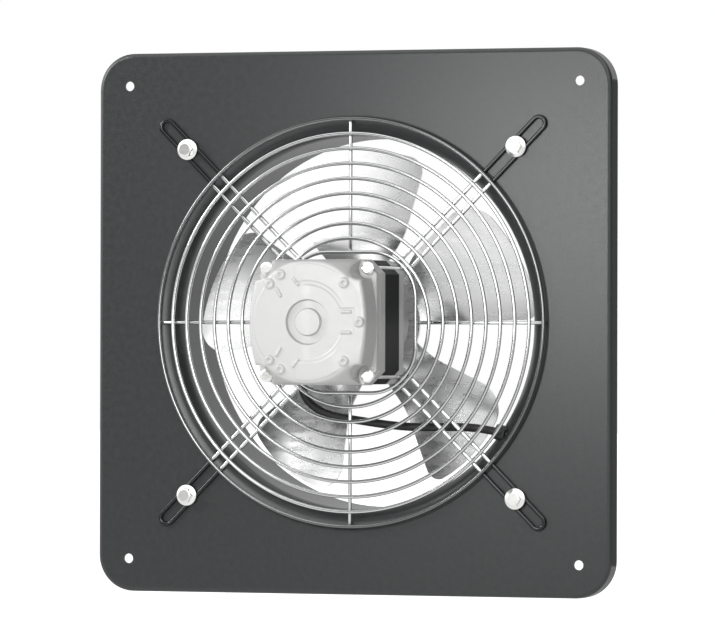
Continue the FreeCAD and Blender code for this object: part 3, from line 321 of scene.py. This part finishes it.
for number in range(4):
    shape = bmesh.new()
    bmesh.ops.create_cone(shape, cap_ends=True, segments=WIRE_SIDES, radius1=RING_WIRE / 2,
                          radius2=RING_WIRE / 2, depth=SPOKE_OUTER - SPOKE_INNER)
    rims = [edge for edge in shape.edges if len(edge.link_faces[0].verts) != len(edge.link_faces[1].verts)]
    bmesh.ops.bevel(shape, geom=rims, offset=SPOKE_ROUND, segments=2, profile=0.5, affect="EDGES",
                    material=-1)
    turn_about_axis(shape, -90)
    bmesh.ops.translate(shape, verts=shape.verts, vec=((SPOKE_INNER + SPOKE_OUTER) / 2, SPOKE_DEPTH, 0.0))
    turn_about_axis(shape, 90 * number)
    guard_piece(f"spoke_wire_{number + 1}", shape, f"guard_spoke_{number + 1}")

# ------------------------------------------------------------------ fasteners
# Steel bolts, washers and nuts with the rivets, clips and spacer, all bright zinc plated: flanged bolts
# hold the guard to the plate, and long through-screws hold the motor together.
zinc, tree, shader = material("bright_zinc")
finish(shader, (0.86, 0.86, 0.84), 0.28, 1.0)
relief(tree, shader, grain(tree, 600.0), 0.00004)
dress(zinc, *[nodes[name] for name in ("guard_bolts", "guard_washers", "guard_nuts", "motor_bolts",
                                       "motor_washers", "motor_nuts", "hub_nut", "hub_rivets",
                                       "bearing_clips", "hub_spacer")])

# ------------------------------------------------------------------ front end shield
# Aluminium die casting, left as cast, that closes the motor on the side of the impeller. The cover on the
# other side has the same skin.
casting, tree, shader = material("bright_casting")
finish(shader, (0.50, 0.50, 0.495), 0.42, 0.3)
skin = grain(tree, 260.0, 5.0)
tree.links.new(spread(tree, skin, 0.42, 0.58), shader.inputs["Roughness"])
relief(tree, shader, skin, 0.00006)
dress(casting, nodes["front_end_shield"])

# ------------------------------------------------------------------ motor cover
# Rear end shield, a hollow die casting, here in millimetres: a round face on a square foot, a deep pocket
# over each through-screw, a recess round the bearing, round bosses, short ribs and shallow steps left by
# the die.
SECTORS, ROUND_RINGS, OUTER_RINGS, ROUND_LIMIT = 480, 84, 26, 37.8
COVER_TOP, POCKET_FLOOR, LIP_PLANE = 27.5, 6.0, -59.0
TOWER_HALF, FOOT_HALF, LIP_HALF, CORNER_CUT = 41.6, 41.65, 42.15, 9.4
FLANK_BOW, EDGE_ROUND, SOFT = 110.0, 2.6, 0.3
FACE_RADIUS, CORNER_FALL, FLANK_FALL = 41.2, 1.8, 0.16
KEYHOLE_RADIUS, KEYHOLE_HALF, KEYHOLE_END, KEYHOLE_DEPTH = 24.8, 9.3, 33.0, 0.45
PAD_INNER, PAD_OUTER, PAD_SIDE, PAD_GAP = 27.6, 38.9, 8.5, 12.0
RIM_RADIUS, STEP_HEIGHT = 38.0, 0.4
RECESS_INNER, RECESS_OUTER, RECESS_WALL, RECESS_DEPTH = 8.8, 15.2, 0.7, 2.4
POCKET_CENTRE, POCKET_RADIUS, POCKET_ROUND = 36.0, 7.4, 0.7
BOSS_CIRCLE, BOSS_RADIUS, BOSS_HEIGHT, DIMPLE_DEPTH = 36.9, 4.0, 1.5, 1.0
RIB_HALF_LENGTH, RIB_HALF_WIDTH, RIB_HEIGHT = 3.4, 0.8, 1.0

BOSSES = [(BOSS_CIRCLE * math.cos(math.radians(turn)), BOSS_CIRCLE * math.sin(math.radians(turn)))
          for turn in (0.0, 45.0, -45.0, 121.0, -121.0, 136.3, -136.3)]
RIBS = [(27.6, 6.9, 1.0, 0.0), (-8.1, 27.2, 0.62, -0.78), (-20.3, 19.9, 0.51, -0.86)]
RIBS += [(x, -z, along_x, -along_z) for x, z, along_x, along_z in RIBS]
# Past the face: (half side of the square outline or 0 where round, what is added to it, height).
SKIRT = ((FOOT_HALF, -0.4, POCKET_FLOOR), (FOOT_HALF, 0.0, POCKET_FLOOR - 0.4), (FOOT_HALF, 0.0, 0.9),
         (LIP_HALF, -0.3, 0.3), (LIP_HALF, 0.0, 0.0), (LIP_HALF, 0.0, -9.4),
         (0.0, 34.6, -9.4), (0.0, 34.6, 16.6), (0.0, 11.0, 16.6), (0.0, 11.0, -0.4), (0.0, 8.0, -0.4),
         (0.0, 8.0, 17.0), (0.0, 9.0, 17.0), (0.0, 9.0, 22.6))
FACE_RINGS = ROUND_RINGS + OUTER_RINGS


def ease(value, low, high):
    """Smooth step from 0 at low to 1 at high."""
    share = min(max((value - low) / (high - low), 0.0), 1.0)
    return share * share * (3.0 - 2.0 * share)


def inside(distance):
    """1 inside an outline and 0 outside it, from the distance to it, with a soft edge."""
    return 1.0 - ease(distance, -SOFT, SOFT)


def square_reach(angle, half):
    """Distance from the axis to a square with cut corners, along one angle."""
    across, up = abs(math.cos(angle)), abs(math.sin(angle))
    return min(half / max(across, up), (2 * half - CORNER_CUT) / (across + up))


def tower_reach(angle):
    """Distance from the axis to the upright wall above the foot; its left and right flanks are bowed."""
    across, up = abs(math.cos(angle)), abs(math.sin(angle))
    bow = max(up * up / (2 * FLANK_BOW), 1e-9)
    flank = (math.sqrt(across * across + 4 * bow * TOWER_HALF) - across) / (2 * bow)
    return min(flank, square_reach(angle, TOWER_HALF))


def face_height(x, z):
    """Height of the cover's outside over the foot's lip, short of the rounding at its edge."""
    radius = math.hypot(x, z)
    flank = ease(abs(x) - abs(z), -2.0, 2.0)
    fall = CORNER_FALL + (FLANK_FALL - CORNER_FALL) * flank
    past = radius - FACE_RADIUS
    height = COVER_TOP - 0.5 * (past + math.sqrt(past * past + 1.0)) * fall
    keyhole = min(radius - KEYHOLE_RADIUS, max(abs(z) - KEYHOLE_HALF, x - KEYHOLE_END))
    height -= KEYHOLE_DEPTH * inside(keyhole) * ease(x, -5.0, 3.0)
    pad = max(PAD_INNER - radius, radius - PAD_OUTER, -PAD_SIDE - x, PAD_GAP - abs(z))
    height += STEP_HEIGHT * inside(pad) * (1.0 - ease(x, 17.0, 27.0))
    height -= STEP_HEIGHT * ease(radius, RIM_RADIUS, RIM_RADIUS + 0.6) * ease(-x, 25.0, 30.0)
    height -= RECESS_DEPTH * ease(radius, RECESS_INNER, RECESS_INNER + RECESS_WALL)
    height += RECESS_DEPTH * ease(radius, RECESS_OUTER - RECESS_WALL, RECESS_OUTER)
    for boss_x, boss_z in BOSSES:
        off = math.hypot(x - boss_x, z - boss_z)
        if off < BOSS_RADIUS:
            height += BOSS_HEIGHT * (1.0 - ease(off, 2.5, 3.9)) - DIMPLE_DEPTH * (1.0 - ease(off, 0.8, 1.8))
    for rib_x, rib_z, along_x, along_z in RIBS:
        along = abs((x - rib_x) * along_x + (z - rib_z) * along_z) - RIB_HALF_LENGTH
        aside = abs((x - rib_x) * along_z - (z - rib_z) * along_x) - RIB_HALF_WIDTH
        height += RIB_HEIGHT * (1.0 - ease(max(along, aside), -SOFT, 0.5))
    return height


def cover_point(x, z, to_edge):
    """A point of the outside: cut by the pockets, whose rims are met exactly, and rounded at the edge."""
    pocket_x, pocket_z = math.copysign(POCKET_CENTRE, x), math.copysign(POCKET_CENTRE, z)
    off = math.hypot(x - pocket_x, z - pocket_z)
    rim = off - POCKET_RADIUS
    if abs(rim) < SOFT and off > 0.0:
        target = POCKET_RADIUS + math.copysign(SOFT, rim)
        x = pocket_x + (x - pocket_x) * target / off
        z = pocket_z + (z - pocket_z) * target / off
    if rim < 0.0:
        return x, z, POCKET_FLOOR + 0.5 * ease(off, 5.4, 7.1)
    height = face_height(x, z) - POCKET_ROUND * (1.0 - ease(rim, 0.25, 1.6))
    if to_edge < EDGE_ROUND:
        height -= EDGE_ROUND - math.sqrt(max(EDGE_ROUND ** 2 - (EDGE_ROUND - to_edge) ** 2, 0.0))
    return x, z, max(height, POCKET_FLOOR)


def cover_place(ring, angle):
    """Where a ring of the flat disc goes at one angle: face, then wall, lip and hollow."""
    reach = tower_reach(angle)
    if ring <= FACE_RINGS:
        share = max(ring - ROUND_RINGS, 0) / OUTER_RINGS
        radius = ROUND_LIMIT * min(ring / ROUND_RINGS, 1.0) + share * (reach - ROUND_LIMIT)
        return cover_point(radius * math.cos(angle), radius * math.sin(angle), reach - radius)
    if ring == FACE_RINGS + 1:
        radius, height = reach + FOOT_HALF - TOWER_HALF, POCKET_FLOOR
    else:
        half, added, height = SKIRT[ring - FACE_RINGS - 2]
        radius = added + (square_reach(angle, half) if half else 0.0)
    return radius * math.cos(angle), radius * math.sin(angle), height


# A flat disc is spun from a line of points one unit apart, and each of its rings is then put in its place.
shape = bmesh.new()
tip = bmesh.ops.create_vert(shape, co=AXIS)["vert"]
for ring in range(FACE_RINGS + 1 + len(SKIRT)):
    tip = bmesh.ops.extrude_vert_indiv(shape, verts=tip)["verts"]
    bmesh.ops.translate(shape, vec=(1.0, 0.0, 0.0), verts=tip)
bmesh.ops.spin(shape, geom=shape.verts[:] + shape.edges[:], cent=AXIS, axis=(0.0, 1.0, 0.0),
               angle=2 * math.pi, steps=SECTORS, use_merge=True)
bmesh.ops.remove_doubles(shape, verts=shape.verts, dist=0.001)
for point in shape.verts:
    angle = math.atan2(point.co.z, point.co.x) + math.pi / SECTORS
    x, z, height = cover_place(round(point.co.length), angle)
    point.co = (0.001 * x, 0.001 * (LIP_PLANE - height), 0.001 * z)
bmesh.ops.holes_fill(shape, edges=[edge for edge in shape.edges if edge.is_boundary], sides=SECTORS)
motor_cover = smooth_piece("motor_cover", shape, 42.0)
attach(motor_cover, "frame")
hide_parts("rear_end_shield")
dress(casting, motor_cover)

# ------------------------------------------------------------------ stator
# Black lacquered steel laminations, with coils of enamelled copper wire on moulded bobbins and copper
# shading rings on the poles.
lacquer, tree, shader = material("black_lacquer")
finish(shader, (0.004, 0.004, 0.0045), 0.55, Specular_IOR_Level=0.2)
relief(tree, shader, grain(tree, 1500.0, 1.0, (0.02, 1.0, 0.02)), 0.0001)
dress(lacquer, nodes["stator_stack"])

copper, tree, shader = material("enamelled_copper")
finish(shader, (0.62, 0.26, 0.12), 0.35, 1.0)
relief(tree, shader, grain(tree, 900.0, 1.0, (1.0, 0.1, 1.0)), 0.0002)
dress(copper, nodes["stator_windings"], nodes["shading_rings"])

pale_nylon, tree, shader = material("natural_nylon")
finish(shader, (0.80, 0.77, 0.68), 0.45)
relief(tree, shader, grain(tree, 700.0), 0.00005)
dress(pale_nylon, nodes["coil_bobbins"])

# ------------------------------------------------------------------ lead fittings
# The strain relief, the tie round the spare turns and the bush in the bell mouth are black mouldings. The
# bared cores have their own brown insulation.
nylon, tree, shader = material("black_nylon")
finish(shader, (0.014, 0.014, 0.015), 0.42)
relief(tree, shader, grain(tree, 800.0), 0.00005)
dress(nylon, nodes["lead_strain_relief"], nodes["coil_tie"], nodes["nozzle_grommet"])

core_pvc, tree, shader = material("core_pvc")
finish(shader, (0.25, 0.10, 0.04), 0.35)
relief(tree, shader, grain(tree, 900.0), 0.00003)
dress(core_pvc, nodes["lead_cores"])

# ------------------------------------------------------------------ rotor and bearings
# A turned steel shaft and core run in two sintered bronze bushes, each fed by a felt ring soaked in oil.
steel, tree, shader = material("turned_steel")
finish(shader, (0.50, 0.50, 0.51), 0.3, 1.0)
relief(tree, shader, grain(tree, 900.0, 1.0, (0.1, 1.0, 0.1)), 0.00004)
dress(steel, nodes["motor_shaft"], nodes["rotor_core"], nodes["thrust_washers"])

bronze, tree, shader = material("sintered_bronze")
finish(shader, (0.55, 0.36, 0.16), 0.5, 1.0)
relief(tree, shader, grain(tree, 1500.0), 0.00008)
dress(bronze, nodes["rear_bearing"], nodes["front_bearing"])

wool, tree, shader = material("oiled_felt")
finish(shader, (0.42, 0.38, 0.30), 0.9)
relief(tree, shader, grain(tree, 1200.0), 0.0003)
dress(wool, nodes["oil_felts"])

# ------------------------------------------------------------------ impeller
# Five blades pressed in one piece from bright rolled aluminium sheet, which leaves fine streaks, and
# riveted to a cast hub. The hub and the rotor's cast end rings are given the same metal.
sheet, tree, shader = material("rolled_aluminium")
finish(shader, (0.94, 0.94, 0.94), 0.2, 0.94)
streaks = grain(tree, 90.0, 4.0, (0.15, 1.0, 2.5))
tree.links.new(spread(tree, streaks, 0.22, 0.34), shader.inputs["Roughness"])
relief(tree, shader, streaks, 0.000007)
dress(sheet, nodes["impeller"], nodes["impeller_hub"], nodes["rotor_end_rings"])

# ------------------------------------------------------------------ room
# A white floor and backdrop as the lens sees them. The fan itself mirrors a dim room, with a dark patch on
# the side its plate faces, and soft lamps.
FLOOR_HEIGHT, FLOOR_HALF = -0.26, 12.0
floor_mesh = bpy.data.meshes.new("floor")
shape = bmesh.new()
bmesh.ops.create_grid(shape, x_segments=1, y_segments=1, size=FLOOR_HALF)
bmesh.ops.translate(shape, vec=(0.0, 0.0, FLOOR_HEIGHT), verts=shape.verts)
shape.to_mesh(floor_mesh)
shape.free()
floor = bpy.data.objects.new("floor", floor_mesh)
scene.collection.objects.link(floor)
pale, tree, shader = material("pale_floor")
finish(shader, (0.55, 0.55, 0.55), 0.9)
eye = tree.nodes.new("ShaderNodeLightPath")
glow = tree.nodes.new("ShaderNodeMapRange")
glow.inputs["To Min"].default_value = 0.56
glow.inputs["To Max"].default_value = 1.0
tree.links.new(eye.outputs["Is Camera Ray"], glow.inputs["Value"])
tree.links.new(glow.outputs["Result"], shader.inputs["Emission Strength"])
shader.inputs["Emission Color"].default_value = (1.0, 1.0, 1.0, 1.0)
dress(pale, floor)

world = bpy.data.worlds.new("studio")
scene.world = world
world.use_nodes = True
sky = world.node_tree
background = sky.nodes["Background"]
background.inputs["Color"].default_value = (1.0, 1.0, 1.0, 1.0)
direction = sky.nodes.new("ShaderNodeTexCoord")


def sky_value(way, start, end, low, high):
    """Strength that goes from low to high as the direction turns towards a given way."""
    towards = sky.nodes.new("ShaderNodeVectorMath")
    towards.operation = "DOT_PRODUCT"
    towards.inputs[1].default_value = Vector(way).normalized()
    sky.links.new(direction.outputs["Generated"], towards.inputs[0])
    ramp = sky.nodes.new("ShaderNodeMapRange")
    ramp.interpolation_type = "SMOOTHSTEP"
    ramp.inputs["From Min"].default_value = start
    ramp.inputs["From Max"].default_value = end
    ramp.inputs["To Min"].default_value = low
    ramp.inputs["To Max"].default_value = high
    sky.links.new(towards.outputs["Value"], ramp.inputs["Value"])
    return ramp.outputs["Result"]


def sky_math(operation, first, second):
    """Two strengths added or multiplied."""
    joined = sky.nodes.new("ShaderNodeMath")
    joined.operation = operation
    sky.links.new(first, joined.inputs[0])
    sky.links.new(second, joined.inputs[1])
    return joined.outputs["Value"]


overhead = sky_value((0.1, -0.3, 1.0), 0.4, 0.85, 0.05, 1.6)
left_wall = sky_value((-1.0, -0.1, 0.0), 0.5, 0.82, 0.0, 1.6)
dark_patch = sky_value((-0.34, -0.94, 0.0), 0.75, 0.97, 1.0, 0.25)
behind = sky_value((0.0, 1.0, 0.0), 0.55, 0.85, 0.0, 0.9)
lens_side = sky_value((0.55, -0.83, 0.12), 0.78, 0.93, 0.0, 1.5)
seen = sky.nodes.new("ShaderNodeLightPath")
dimmed = sky.nodes.new("ShaderNodeMapRange")
dimmed.inputs["To Min"].default_value = 1.0
dimmed.inputs["To Max"].default_value = 0.17
sky.links.new(seen.outputs["Is Diffuse Ray"], dimmed.inputs["Value"])
walls = sky_math("ADD", sky_math("ADD", overhead, left_wall), sky_math("ADD", behind, lens_side))
room_light = sky_math("MULTIPLY", sky_math("MULTIPLY", walls, dark_patch), dimmed.outputs["Result"])
chosen = sky.nodes.new("ShaderNodeMix")
chosen.inputs["B"].default_value = 1.0
sky.links.new(seen.outputs["Is Camera Ray"], chosen.inputs["Factor"])
sky.links.new(room_light, chosen.inputs["A"])
sky.links.new(chosen.outputs["Result"], background.inputs["Strength"])


def lamp(name, place, target, width, height, power):
    """Soft rectangular lamp aimed at a point."""
    light = bpy.data.lights.new(name, "AREA")
    light.shape = "RECTANGLE"
    light.size = width
    light.size_y = height
    light.energy = power
    holder = bpy.data.objects.new(name, light)
    scene.collection.objects.link(holder)
    aim = Vector(target) - Vector(place)
    holder.matrix_world = Matrix.Translation(place) @ aim.to_track_quat("-Z", "Y").to_matrix().to_4x4()


lamp("corner_lamp", (-0.01, -0.62, 0.11), (0.15, 0.0, 0.08), 0.26, 0.26, 1.7)
lamp("left_lamp", (-1.1, -0.75, 0.55), (0.0, 0.0, 0.0), 0.4, 0.4, 8.0)
